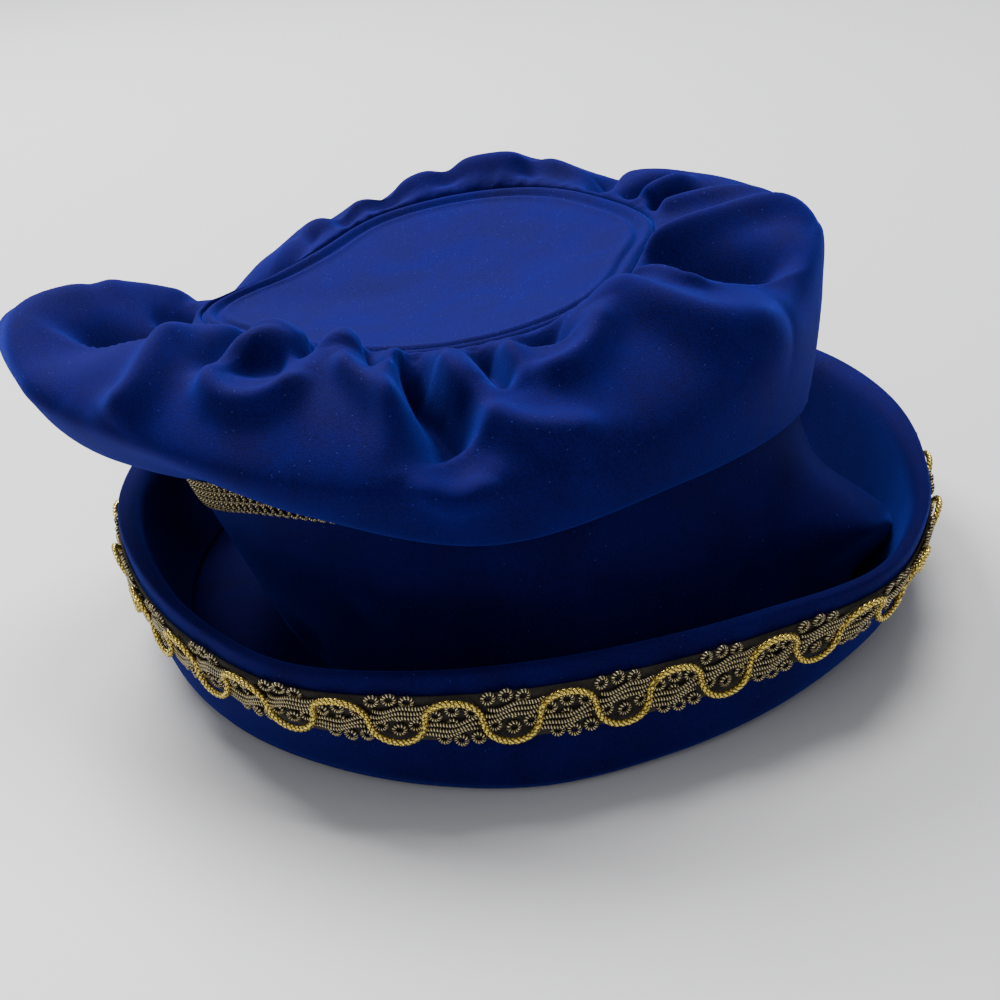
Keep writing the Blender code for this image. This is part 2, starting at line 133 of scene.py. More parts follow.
# %% Where the folds run
Fold = namedtuple("Fold", "height wide spread round path")
PUFF_FOLDS = [
    Fold(-20, 11, 12, 2.0, [(-77, 0.10), (-76, 0.20), (-76, 0.30), (-73, 0.39)]),
    Fold(4, 8, 8, 2.0, [(-101, 0.20), (-97, 0.28), (-92, 0.34)]),
    Fold(4, 6, 7, 2.0, [(-92, 0.28), (-88, 0.42), (-76, 0.53), (-64, 0.58)]),
    Fold(6, 4, 8, 2.0, [(-62, 0.26), (-57, 0.36), (-53, 0.48), (-55, 0.57)]),
    Fold(-7, 3, 5, 1.7, [(-58, 0.08), (-55, 0.18), (-51, 0.28), (-46, 0.40)]),
    Fold(3, 8, 8, 2.0, [(-46, 0.14), (-45, 0.22)]),
    Fold(3, 5, 5, 2.0, [(-41, 0.45), (-45, 0.38), (-46, 0.30), (-42, 0.24), (-36, 0.23)]),
    Fold(-5, 6, 6, 2.0, [(-43, 0.32), (-39, 0.32), (-34, 0.29)]),
    Fold(5, 4, 5, 2.0, [(-46, 0.39), (-40, 0.44), (-34, 0.44), (-30, 0.40), (-29, 0.33)]),
    Fold(-6, 3, 4, 1.7, [(-35, 0.08), (-34, 0.18), (-33, 0.28)]),
    Fold(3, 6, 6, 2.0, [(-27, 0.14), (-25, 0.24)]),
    Fold(5, 4, 5, 2.0, [(-24, 0.27), (-19, 0.34), (-13, 0.40), (-7, 0.44)]),
    Fold(-7, 3, 4, 1.7, [(-20, 0.10), (-18, 0.20), (-15, 0.29)]),
    Fold(-18, 3, 11, 2.4, [(-9, 0.12), (-8, 0.23), (-6, 0.34), (-3, 0.44), (-1, 0.50)]),
    Fold(3, 4, 6, 2.0, [(-15, 0.22), (-13, 0.32), (-11, 0.42), (-10, 0.54)]),
    Fold(4, 5, 5, 2.0, [(-8, 0.56), (-4, 0.61), (0, 0.61), (3, 0.57)]),
    Fold(1.5, 6, 6, 2.0, [(-1, 0.14), (0, 0.24), (2, 0.36)]),
    Fold(3, 4, 4, 2.0, [(-4, 0.22), (-2, 0.32), (0, 0.40)]),
    Fold(5, 4, 6, 2.0, [(0, 0.42), (5, 0.46), (9, 0.50), (15, 0.53), (20, 0.54)]),
    Fold(-9, 3, 5, 1.7, [(6, 0.12), (7, 0.21), (8, 0.31), (9, 0.39)]),
    Fold(2.5, 4, 4, 2.0, [(13, 0.18), (12, 0.26), (11, 0.33), (10, 0.41)]),
    Fold(-8, 6, 8, 2.0, [(22, 0.10), (21, 0.18), (20, 0.27)]),
    Fold(5, 4, 6, 2.0, [(13, 0.37), (18, 0.39), (24, 0.36), (29, 0.30), (34, 0.23)]),
    Fold(7, 8, 12, 2.0, [(38, 0.14), (40, 0.22), (41, 0.32), (44, 0.43), (50, 0.50), (57, 0.54)]),
    Fold(-16, 8, 12, 2.0, [(60, 0.09), (66, 0.18), (68, 0.28), (63, 0.40)]),
    Fold(3, 2.5, 3, 2.0, [(52, 0.12), (54, 0.18), (52, 0.27), (54, 0.33)]),
    Fold(6, 4, 7, 2.0, [(72, 0.08), (78, 0.15), (84, 0.22), (88, 0.30), (84, 0.40)]),
    Fold(4, 4, 6, 2.0, [(99, 0.10), (100, 0.16), (98, 0.26), (92, 0.34)]),
    Fold(-6, 3, 4, 1.7, [(105, 0.08), (106, 0.16), (105, 0.26)]),
    Fold(4, 4, 5, 2.0, [(110, 0.12), (112, 0.18), (112, 0.28)]),
    Fold(-6, 3, 5, 1.7, [(118, 0.08), (119, 0.18), (118, 0.30)]),
    Fold(-8, 4, 6, 1.8, [(130, 0.07), (134, 0.18), (137, 0.30), (138, 0.42)]),
    Fold(-3, 4, 7, 2.0, [(155, 0.10), (157, 0.22), (158, 0.42)]),
    Fold(-3, 4, 7, 2.0, [(178, 0.10), (180, 0.22), (181, 0.44)]),
    Fold(-4, 6, 8, 2.0, [(-164, 0.08), (-163, 0.24), (-162, 0.48)]),
    Fold(-3, 4, 7, 2.0, [(-150, 0.10), (-149, 0.22), (-148, 0.44)]),
    Fold(-3, 5, 8, 2.0, [(-136, 0.12), (-135, 0.26), (-134, 0.50)]),
    Fold(-4, 5, 8, 2.0, [(-121, 0.12), (-119, 0.26), (-118, 0.50)]),
    Fold(-5, 5, 9, 2.0, [(-106, 0.12), (-104, 0.22), (-104, 0.40), (-103, 0.56)]),
    Fold(-5, 3, 5, 1.7, [(-90, 0.08), (-89, 0.14), (-87, 0.22)]),
]
STAND_FOLDS = [
    Fold(20, 12, 16, 2.0, [(86, -0.06), (80, 0.14), (72, 0.30), (60, 0.48), (46, 0.62)]),
    Fold(-9, 14, 14, 2.0, [(104, 0.0), (98, 0.30), (92, 0.60)]),
    Fold(-4, 12, 12, 2.0, [(-58, 0.0), (-40, 0.24), (-22, 0.46)]),
]

# %% [markdown]
# ## Curves through the tables
# Cloth has no corners between two measures, so every column is read on a smooth closed curve.

# %% Smooth curves and the small shapes of a fold
def curve(knots, values, at):
    """A smooth curve through values at knots, read at the given places."""
    slopes = np.gradient(values, knots)
    left = np.clip(np.searchsorted(knots, at, side="right") - 1, 0, len(knots) - 2)
    span = knots[left + 1] - knots[left]
    u = (at - knots[left]) / span
    return (
        values[left] * (1 + 2 * u) * (1 - u) ** 2
        + values[left + 1] * u * u * (3 - 2 * u)
        + slopes[left] * span * u * (1 - u) ** 2
        - slopes[left + 1] * span * u * u * (1 - u)
    )


def around(table, column, bearing):
    """The value of a column at any bearing, on a smooth closed curve through the table's rows."""
    rows = sorted(table, key=lambda row: row.bearing)
    knots = np.array([row.bearing for row in rows], float)
    values = np.array([getattr(row, column) for row in rows], float)
    knots = np.concatenate([knots[-2:] - 360, knots, knots[:2] + 360])
    values = np.concatenate([values[-2:], values, values[:2]])
    wrapped = (np.asarray(bearing, float) - rows[0].bearing) % 360 + rows[0].bearing
    return curve(knots, values, wrapped)


def ease(share):
    return share * share * (3 - 2 * share)


def outwards(bearing):
    """The level direction of a bearing."""
    angle = np.radians(bearing)
    return np.stack([np.sin(angle), -np.cos(angle)], axis=-1)


# %% The height of all folds at a place on the cloth
def ridge(fold, bearing, step, reach, length):
    """The share of a fold's height at each place, from its distance to the fold's path."""
    knots = np.arange(len(fold.path), dtype=float)
    share = np.linspace(0, len(fold.path) - 1, 5 * len(fold.path))
    path = [curve(knots, np.array(axis, float), share) for axis in zip(*fold.path)]
    across = ((path[0] - bearing[:, None] + 180) % 360 - 180) * reach[:, None]
    along = (path[1] - step[:, None]) * length
    run_x, run_y = np.diff(across, axis=1), np.diff(along, axis=1)
    near = -(across[:, :-1] * run_x + along[:, :-1] * run_y) / (run_x**2 + run_y**2 + 1e-9)
    near = np.clip(near, 0, 1)
    apart = np.hypot(across[:, :-1] + near * run_x, along[:, :-1] + near * run_y)
    best = apart.argmin(axis=1)[:, None]
    place = (best + np.take_along_axis(near, best, 1))[:, 0] / (len(share) - 1)
    apart = np.take_along_axis(apart, best, 1)[:, 0]
    apart /= fold.wide + (fold.spread - fold.wide) * place
    ends = ease(np.clip(0.30 + place / 0.35, 0, 1)) * ease(np.clip(0.30 + (1 - place) / 0.35, 0, 1))
    return np.exp(-apart**fold.round) * ends


def folded(folds, bearing, step, reach, length):
    """The height of all the folds together; reach is millimetres a degree, length those a step."""
    bearing, step, reach = np.broadcast_arrays(bearing, step, reach)
    total = np.zeros(bearing.shape)
    for fold in folds:
        middle = np.mean([place[0] for place in fold.path])
        widest = 3 * max(fold.wide, fold.spread)
        spread = np.ptp([place[0] for place in fold.path]) / 2 + widest
        steps = [place[1] for place in fold.path]
        margin = widest / length
        close = np.abs((bearing - middle + 180) % 360 - 180) < spread
        close &= (step > min(steps) - margin) & (step < max(steps) + margin)
        total[close] += fold.height * ridge(fold, bearing[close], step[close], reach[close], length)
    return total


# %% [markdown]
# ## The forms of the cloth
# A surface is a function of bearing and step. The puff goes from the tip's seam over its crest and
# bulge and back in to the side band, and the folds stand square to that smooth form.

# %% The smooth forms
def seam_height(places):
    """The height of the tip's plane over level places."""
    return TIP_HEIGHT + (places - TIP_CENTRE) @ TIP_SLOPE


def section(knots, lines, step):
    """A smooth curve through the last axis of lines, read at each step."""
    slopes = np.gradient(lines, knots, axis=-1)
    left = np.clip(np.searchsorted(knots, step, side="right") - 1, 0, len(knots) - 2)
    span = knots[left + 1] - knots[left]
    u = (step - knots[left]) / span

    def pick(values, index):
        return np.take_along_axis(values, index[..., None], axis=-1)[..., 0]

    return (
        pick(lines, left) * (1 + 2 * u) * (1 - u) ** 2
        + pick(lines, left + 1) * u * u * (3 - 2 * u)
        + pick(slopes, left) * span * u * (1 - u) ** 2
        - pick(slopes, left + 1) * span * u * u * (1 - u)
    )


def facing(surface, bearing, step):
    """The outward unit normal of a surface."""
    turn, climb = 0.3, 0.003
    across = surface(bearing + turn, step) - surface(bearing - turn, step)
    along = surface(bearing, step + climb) - surface(bearing, step - climb)
    normal = np.cross(along, across)
    return normal / np.linalg.norm(normal, axis=-1, keepdims=True)


def puff_form(bearing, step):
    """The smooth form of the puff: step 0 is its seam with the tip, step 1 with the stand."""
    bearing, step = np.broadcast_arrays(np.asarray(bearing, float), np.asarray(step, float))
    way = outwards(bearing)
    seam_r = around(SEAM, "radius", bearing) + GAP
    seam_z = seam_height(TIP_CENTRE + way * seam_r[..., None])
    column = {name: around(PUFF, name, bearing) for name in Puff._fields[1:]}
    top = around(STAND, "top", bearing) + 2 * GAP
    knots = np.array([-0.1, 0.0, 0.05, 0.14, 0.36, 0.60, 0.80, 0.92, 1.0, 1.1])
    rise = 0.55 * (column["crest_z"] - seam_z) + around(PUFF, "roll", bearing)
    lip = BAND_RADIUS + GAP + CROWN_BAND_THICK + 2.4
    radii = [
        seam_r, seam_r, seam_r, seam_r + 5, column["crest_r"], column["bulge_r"],
        column["under_r"], lip + 0 * top, BAND_RADIUS - 2.5 + 0 * top,
        BAND_RADIUS - 6 + 0 * top,
    ]
    heights = [
        seam_z - SEAM_TAIL - 5, seam_z - SEAM_TAIL, seam_z, seam_z + rise, column["crest_z"],
        column["bulge_z"], column["under_z"], top - 0.4, top, top,
    ]
    radius, height = (section(knots, np.stack(line, axis=-1), step) for line in (radii, heights))
    lean = np.clip((step - 0.05) / 0.95, 0, 1)[..., None]
    centre = TIP_CENTRE * (1 - lean) + BAND_CENTRE * lean
    return np.concatenate([centre + way * radius[..., None], height[..., None]], axis=-1)


# %% The puff with its folds, and the side band with its own
PUFF_LENGTH = 130.0  # millimetres of cloth from the upper seam to the lower


def gathers(bearing, step):
    """The fine puckers of the gathering stitches, beside the upper seam and the lower one."""
    wander = 1.3 * np.sin(np.radians(3 * bearing)) + 0.9 * np.sin(np.radians(7 * bearing + 40))
    pucker = np.sin(np.radians(61 * bearing) + 2 * wander) + 0.6 * np.sin(
        np.radians(97 * bearing) - 3 * wander
    )
    strength = 0.6 + 0.4 * np.sin(np.radians(11 * bearing) + wander)
    upper = ease(np.clip((step - 0.05) / 0.03, 0, 1)) * np.exp(-(((step - 0.07) / 0.07) ** 2))
    lower = 0.5 * ease(np.clip((0.98 - step) / 0.05, 0, 1)) * np.exp(-(((step - 0.92) / 0.05) ** 2))
    return 0.25 * pucker * strength * (upper + lower)


def puff_surface(bearing, step):
    """The velvet side of the puff with its folds, which stand square to the smooth form."""
    bearing, step = np.broadcast_arrays(np.asarray(bearing, float), np.asarray(step, float))
    reach = 1.1 + 0.85 * ease(np.clip(step / 0.5, 0, 1))
    height = folded(PUFF_FOLDS, bearing, step, reach, PUFF_LENGTH)
    height *= ease(np.clip((step - 0.05) / 0.06, 0, 1)) * ease(np.clip((0.95 - step) / 0.2, 0, 1))
    height += gathers(bearing, step)
    return puff_form(bearing, step) + height[..., None] * facing(puff_form, bearing, step)


def stand_surface(bearing, step):
    """The outside of the stand: step 0 is its foot on the brim, step 1 the seam at its top."""
    bearing, step = np.broadcast_arrays(np.asarray(bearing, float), np.asarray(step, float))
    way = outwards(bearing)
    foot = around(STAND, "foot", bearing)
    low = FLANGE_THICK + GAP
    rise = around(STAND, "top", bearing) - low
    fold = folded(STAND_FOLDS, bearing, step, 1.75 + 0 * step, 75.0)
    fold *= ease(np.clip((0.80 - step) / 0.4, 0, 1))
    radius = foot + (BAND_RADIUS - foot) * step + fold
    centre = BRIM_CENTRE * (1 - step[..., None]) + BAND_CENTRE * step[..., None]
    level = (low + rise * step)[..., None]
    return np.concatenate([centre + way * radius[..., None], level], axis=-1)


def band_step(bearing, fall):
    """The stand's step at the crown band: fall is 0 at its top edge and 1 at its lower edge."""
    height = around(STAND, "top", bearing) - FLANGE_THICK - GAP
    return 1 - (CROWN_BAND_DROP + CROWN_BAND_WIDE * fall) / height


def brim_wall(bearing, height):
    """The radius of the brim's outer wall at a height."""
    foot = around(BRIM, "foot", bearing)
    return foot + (around(BRIM, "edge", bearing) - foot) * height / EDGE_AT


def placed(points):
    """Points in metres, seen from the middle of the cap's box."""
    moved = np.array(points, float)
    moved[..., :2] -= BOX_MIDDLE
    return moved * MM


def bearings(columns):
    return np.arange(columns) * 360.0 / columns


# %% [markdown]
# ## The camera
# The cap is seen from a little above the front, by a camera that leans a few degrees. The camera
# comes first, so that every piece can be looked at as soon as it is made.

# %% Set up the camera
CAMERA_AT = np.array([-5.5, -435.4, 252.0])
CAMERA_ELEVATION = math.radians(27.6)
CAMERA_ROLL = math.radians(5.0)

forward = Vector((0, math.cos(CAMERA_ELEVATION), -math.sin(CAMERA_ELEVATION)))
right = Vector((1, 0, 0))
up = right.cross(forward)
camera_x = right * math.cos(CAMERA_ROLL) - up * math.sin(CAMERA_ROLL)
camera_y = right * math.sin(CAMERA_ROLL) + up * math.cos(CAMERA_ROLL)
camera = bpy.data.objects.new("camera", bpy.data.cameras.new("camera"))
camera.data.lens = 54.0
camera.data.sensor_width = 36.0
camera.data.shift_y = -0.002
camera.data.clip_start = 0.01
turned_to = Matrix([camera_x, camera_y, -forward]).transposed()
camera.matrix_world = Matrix.Translation(placed(CAMERA_AT)) @ turned_to.to_4x4()
bpy.context.collection.objects.link(camera)
bpy.context.scene.camera = camera
print("camera at", [round(value, 3) for value in camera.location])

# %% [markdown]
# ## The table and the light
# Velvet drinks light that falls straight on it and glows where light grazes it. A broad lamp above
# and behind the cap's left makes the crests glow, and a weaker one fills in from the front.

# %% The table
floor_mesh = bmesh.new()
bmesh.ops.create_grid(floor_mesh, x_segments=1, y_segments=1, size=6.0)
floor_data = bpy.data.meshes.new("floor")
floor_mesh.to_mesh(floor_data)
floor_mesh.free()
floor = bpy.data.objects.new("floor", floor_data)
bpy.context.collection.objects.link(floor)
floor_paint = bpy.data.materials.new("floor")
floor_paint.use_nodes = True
floor_shader = floor_paint.node_tree.nodes["Principled BSDF"]
floor_shader.inputs["Base Color"].default_value = (0.78, 0.78, 0.79, 1.0)
floor_shader.inputs["Roughness"].default_value = 0.45
floor_data.materials.append(floor_paint)

# %% The lamps and the pale room
Lamp = namedtuple("Lamp", "name place size watts")
LAMPS = [
    Lamp("window", (-0.7, 1.0, 1.3), 0.9, 46.0),
    Lamp("ceiling", (0.2, 0.7, 1.7), 1.0, 28.0),
    Lamp("front_fill", (-0.6, -1.6, 1.3), 1.4, 3.0),
]
for lamp in LAMPS:
    light = bpy.data.lights.new(lamp.name, "AREA")
    light.shape = "DISK"
    light.size = lamp.size
    light.energy = lamp.watts
    light_object = bpy.data.objects.new(lamp.name, light)
    aim = Vector((0, 0, 0.06)) - Vector(lamp.place)
    turn = aim.to_track_quat("-Z", "Y").to_matrix().to_4x4()
    light_object.matrix_world = Matrix.Translation(lamp.place) @ turn
    bpy.context.collection.objects.link(light_object)
room = bpy.data.worlds.new("room")
room.use_nodes = True
room.node_tree.nodes["Background"].inputs["Color"].default_value = (0.86, 0.88, 0.92, 1.0)
room.node_tree.nodes["Background"].inputs["Strength"].default_value = 0.40
bpy.context.scene.world = room
print(len(LAMPS), "lamps")

# %% [markdown]
# ## The velvet
# Velvet is a dense brush of short fibres. Where it is looked at end on it is nearly black, and at a
# grazing angle each fibre shows its side, so the rim of every fold is bright. A sheen lobe gives
# that glow. The nap is never combed evenly: a group of noises gives soft patches, fine grain and
# a few pale specks of lint, and several velvets use it with their own values. They are copies of
# one cloth: the side band's and the brim's are darker with less sheen, painted shade, and the
# tip's is a little brighter, painted light.

# %% A node group for the nap
def link_new(tree, kind, name=None, **values):
    """A new node with its plain settings."""
    node = tree.nodes.new(kind)
    for key, value in values.items():
        setattr(node, key, value)
    if name:
        node.name = node.label = name
    return node


def make_nap_group():
    tree = bpy.data.node_groups.new("brushed nap", "ShaderNodeTree")
    tree.interface.new_socket("Position", in_out="INPUT", socket_type="NodeSocketVector")
    tree.interface.new_socket("Dark", in_out="INPUT", socket_type="NodeSocketColor")
    tree.interface.new_socket("Bright", in_out="INPUT", socket_type="NodeSocketColor")
    tree.interface.new_socket("Lint", in_out="INPUT", socket_type="NodeSocketFloat")
    tree.interface.new_socket("Color", in_out="OUTPUT", socket_type="NodeSocketColor")
    tree.interface.new_socket("Height", in_out="OUTPUT", socket_type="NodeSocketFloat")
    tree.interface.new_socket("Roughness", in_out="OUTPUT", socket_type="NodeSocketFloat")
    entry = link_new(tree, "NodeGroupInput")
    leave = link_new(tree, "NodeGroupOutput")
    patches = link_new(tree, "ShaderNodeTexNoise", "patches")
    patches.inputs["Scale"].default_value = 55.0
    patches.inputs["Detail"].default_value = 3.0
    patches.inputs["Distortion"].default_value = 0.6
    grain = link_new(tree, "ShaderNodeTexNoise", "grain")
    grain.inputs["Scale"].default_value = 2400.0
    grain.inputs["Detail"].default_value = 2.0
    grain.inputs["Roughness"].default_value = 0.7
    specks = link_new(tree, "ShaderNodeTexVoronoi", "specks")
    specks.inputs["Scale"].default_value = 1000.0
    for texture in (patches, grain, specks):
        tree.links.new(entry.outputs["Position"], texture.inputs["Vector"])
    mixed = link_new(tree, "ShaderNodeMath", operation="MULTIPLY_ADD")
    mixed.inputs[1].default_value = 0.75
    tree.links.new(grain.outputs["Fac"], mixed.inputs[0])
    patch_share = link_new(tree, "ShaderNodeMath", operation="MULTIPLY")
    patch_share.inputs[1].default_value = 0.35
    tree.links.new(patches.outputs["Fac"], patch_share.inputs[0])
    tree.links.new(patch_share.outputs[0], mixed.inputs[2])
    spread = link_new(tree, "ShaderNodeMapRange")
    spread.inputs["From Min"].default_value = 0.34
    spread.inputs["From Max"].default_value = 0.78
    tree.links.new(mixed.outputs[0], spread.inputs["Value"])
    colour = link_new(tree, "ShaderNodeMix", data_type="RGBA")
    tree.links.new(spread.outputs["Result"], colour.inputs["Factor"])
    tree.links.new(entry.outputs["Dark"], colour.inputs["A"])
    tree.links.new(entry.outputs["Bright"], colour.inputs["B"])
    near = link_new(tree, "ShaderNodeMapRange")
    near.inputs["From Min"].default_value = 0.22
    near.inputs["From Max"].default_value = 0.10
    tree.links.new(specks.outputs["Distance"], near.inputs["Value"])
    chosen = link_new(tree, "ShaderNodeSeparateColor")
    tree.links.new(specks.outputs["Color"], chosen.inputs["Color"])
    rare = link_new(tree, "ShaderNodeMath", operation="LESS_THAN")
    tree.links.new(chosen.outputs["Red"], rare.inputs[0])
    tree.links.new(entry.outputs["Lint"], rare.inputs[1])
    lint = link_new(tree, "ShaderNodeMath", operation="MULTIPLY")
    tree.links.new(near.outputs["Result"], lint.inputs[0])
    tree.links.new(rare.outputs[0], lint.inputs[1])
    dusted = link_new(tree, "ShaderNodeMix", data_type="RGBA")
    dusted.inputs["B"].default_value = (0.035, 0.055, 0.30, 1.0)
    tree.links.new(lint.outputs[0], dusted.inputs["Factor"])
    tree.links.new(colour.outputs["Result"], dusted.inputs["A"])
    tree.links.new(dusted.outputs["Result"], leave.inputs["Color"])
    tree.links.new(mixed.outputs[0], leave.inputs["Height"])
    rough = link_new(tree, "ShaderNodeMapRange")
    rough.inputs["To Min"].default_value = 0.72
    rough.inputs["To Max"].default_value = 0.95
    tree.links.new(patches.outputs["Fac"], rough.inputs["Value"])
    tree.links.new(rough.outputs["Result"], leave.inputs["Roughness"])
    return tree


nap_group = make_nap_group()
print("nodes in the nap:", len(nap_group.nodes))

# %% Velvet materials
Velvet = namedtuple("Velvet", "name dark bright lint sheen")
# The side band's and the brim's velvets are darker copies with less sheen: painted shade. The tip's is a
# little brighter: painted light.
VELVETS = {
    "crown": Velvet("crown velvet", (0.0018, 0.0009, 0.030), (0.0076, 0.0036, 0.145), 0.060, 0.44),
    "tip": Velvet("tip velvet with painted light", (0.0018, 0.0010, 0.030), (0.0078, 0.0044, 0.160), 0.090, 0.44),
    "side": Velvet("side velvet with painted shade", (0.0016, 0.0008, 0.022), (0.0065, 0.0032, 0.110), 0.030, 0.40),
    "brim": Velvet("brim velvet with painted shade", (0.0016, 0.0008, 0.024), (0.0068, 0.0034, 0.115), 0.030, 0.40),
}


def velvet_material(kind):
    material = bpy.data.materials.new(kind.name)
    material.use_nodes = True
    tree = material.node_tree
    shader = tree.nodes["Principled BSDF"]
    place = link_new(tree, "ShaderNodeTexCoord")
    nap = link_new(tree, "ShaderNodeGroup", node_tree=nap_group)
    nap.inputs["Dark"].default_value = (*kind.dark, 1.0)
    nap.inputs["Bright"].default_value = (*kind.bright, 1.0)
    nap.inputs["Lint"].default_value = kind.lint
    tree.links.new(place.outputs["Object"], nap.inputs["Position"])
    tree.links.new(nap.outputs["Color"], shader.inputs["Base Color"])
    tree.links.new(nap.outputs["Roughness"], shader.inputs["Roughness"])
    bump = link_new(tree, "ShaderNodeBump")
    bump.inputs["Strength"].default_value = 0.7
    bump.inputs["Distance"].default_value = 0.0003
    tree.links.new(nap.outputs["Height"], bump.inputs["Height"])
    tree.links.new(bump.outputs["Normal"], shader.inputs["Normal"])
    shader.inputs["Specular IOR Level"].default_value = 0.05
    shader.inputs["Sheen Weight"].default_value = kind.sheen
    shader.inputs["Sheen Roughness"].default_value = 0.38
    shader.inputs["Sheen Tint"].default_value = (0.050, 0.090, 1.0, 1.0)
    return material


velvets = {key: velvet_material(kind) for key, kind in VELVETS.items()}
print("velvets:", ", ".join(velvets))

# %% [markdown]
# ## Making a wall of cloth
# A wall of cloth that goes all the way round could be a turned body that is pushed into shape. A
# flat grid is quicker: it is rolled up like a sheet of paper, its points move to their place on the
# cloth, and its edges are welded where they meet. The velvet and its lining are the two sides of
# the same closed wall.

# %% Rolled walls
def rolled(points, closed=True):
    """A closed body from a grid of points, which goes round the head by its first index."""
    columns, rows = points.shape[:2]
    stops = rows if closed else rows - 1
    mesh = bmesh.new()
    bmesh.ops.create_grid(mesh, x_segments=columns, y_segments=stops, size=0.5)
    for vertex in mesh.verts:
        column = round((vertex.co.x + 0.5) * columns) % columns
        row = round((vertex.co.y + 0.5) * stops) % rows
        vertex.co = points[column, row]
    rim = [vertex for vertex in mesh.verts if vertex.is_boundary]
    bmesh.ops.remove_doubles(mesh, verts=rim, dist=1e-7)
    return mesh


def finished(name, mesh, material, nodes):
    """A piece of its own: faces outwards, smooth, riding on the cap and standing for its solid."""
    mesh.normal_update()
    bmesh.ops.recalc_face_normals(mesh, faces=mesh.faces)
    data = bpy.data.meshes.new(name)
    mesh.to_mesh(data)
    mesh.free()
    data.shade_smooth()
    data.materials.append(material)
    piece = bpy.data.objects.new(name, data)
    bpy.context.collection.objects.link(piece)
    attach(piece, "root")
    if nodes:
        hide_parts(*nodes)
    print(name, sum(len(face.vertices) - 2 for face in data.polygons), "triangles")
    return piece


def wall(outer, inner):
    """A closed wall of cloth between two grids of points."""
    return rolled(placed(np.concatenate([outer, inner[:, ::-1]], axis=1)))


def grid_normals(points):
    """The unit normal at each point of a grid that goes round the head."""
    across = np.roll(points, -1, axis=0) - np.roll(points, 1, axis=0)
    along = np.gradient(points, axis=1)
    normal = np.cross(along, across)
    return normal / np.linalg.norm(normal, axis=-1, keepdims=True)


SQUEEZE = 0.6  # the share of its thickness that cloth keeps each time a crease pinches it
SQUEEZE_ROUNDS = 6


def lining(outer, thick):
    """The inner side of a grid of cloth, behind its outer side. In a tight crease the wall is
    pinched thinner, so that its inner side never turns over itself."""
    normal = grid_normals(outer)
    depth = np.full(outer.shape[:2], thick)
    for _ in range(SQUEEZE_ROUNDS):
        pinched = (grid_normals(outer - depth[..., None] * normal) * normal).sum(-1) < 0.4
        for axis in (0, 1):
            pinched |= np.roll(pinched, 1, axis) | np.roll(pinched, -1, axis)
        depth[pinched] *= SQUEEZE
    return outer - depth[..., None] * normal


# %% [markdown]
# ## The puff
# The gathered crown is one ring of velvet. Its upper edge is gathered round the tip and its lower
# edge round the side band, so the cloth between them bulges and falls over.

# %% Make the puff
PUFF_COLUMNS = 480
FRONT_DRAW = 16.0  # degrees by which the columns crowd to the front, where the folds are finest
puff_steps = np.concatenate([np.linspace(0, 0.2, 26), np.linspace(0.2, 1.0, 72)[1:]])
drawn = bearings(PUFF_COLUMNS) - FRONT_DRAW * np.sin(np.radians(bearings(PUFF_COLUMNS)))
grid, steps = np.meshgrid(drawn, puff_steps, indexing="ij")
outer = puff_surface(grid, steps)
inner = lining(outer, VELVET)
puff = finished(
    "puff_velvet", wall(outer, inner), velvets["crown"], ["puff"]
)

# %% [markdown]
# ## The tip
# The tip is a flat disc of velvet on a stiff lining. Its edge is turned under, and the seam pulls a
# double line round it, a few millimetres inside the edge.

# %% Make the tip
TIP_COLUMNS = 240
tip_rings = np.concatenate([np.linspace(0, 0.80, 22), np.linspace(0.80, 1.0, 22)[1:]])


def tip_lift(ring, radius):
    """The height of the tip over its plane: it sags, and its edge carries the double line."""
    inside = (1 - ring) * radius
    line = 0.9 * np.exp(-(((inside - 2.2) / 1.3) ** 2)) - 1.0 * np.exp(-(((inside - 5.2) / 1.1) ** 2))
    line += 0.5 * np.exp(-(((inside - 7.6) / 1.5) ** 2))
    return -TIP_SAG * (1 - ring**2) ** 1.5 + line - 0.6 * np.exp(-((inside / 0.8) ** 2))


grid, rings = np.meshgrid(bearings(TIP_COLUMNS), tip_rings, indexing="ij")
radii = around(SEAM, "radius", grid)
spots = TIP_CENTRE + outwards(grid) * (radii * rings)[..., None]
plane = seam_height(spots)
upper = np.concatenate([spots, (plane + tip_lift(rings, radii))[..., None]], axis=-1)
under = plane - TIP_SAG * (1 - rings**2) ** 1.5 - VELVET
lower = np.concatenate([spots, under[..., None]], axis=-1)
mesh = rolled(placed(np.concatenate([upper, lower[:, ::-1]], axis=1)), closed=False)
# The tip velvet is a slightly brighter copy of the crown velvet: painted light.
tip = finished("tip_velvet", mesh, velvets["tip"], ["tip"])

# %% [markdown]
# ## The side band
# The stand is a stiffened band of velvet between the brim and the puff. It leans, and a tent like
# fold runs down from it to the brim at the far side.

# %% Make the stand
STAND_COLUMNS = 360
STAND_ROWS = 70
shares = np.linspace(0, 1, STAND_ROWS)
grid, steps = np.meshgrid(bearings(STAND_COLUMNS), shares, indexing="ij")
outer = stand_surface(grid, steps)
inner = outer.copy()
inner[..., :2] -= VELVET * outwards(grid)
# The side velvet is a darker copy of the crown velvet: painted shade.
stand = finished(
    "stand_velvet", wall(outer, inner), velvets["side"], ["stand"]
)

# %% [markdown]
# ## The brim
# The brim is two layers of velvet over padding. It lies flat under the stand, turns up in a soft
# roll, and its rolled edge shows above the braid.

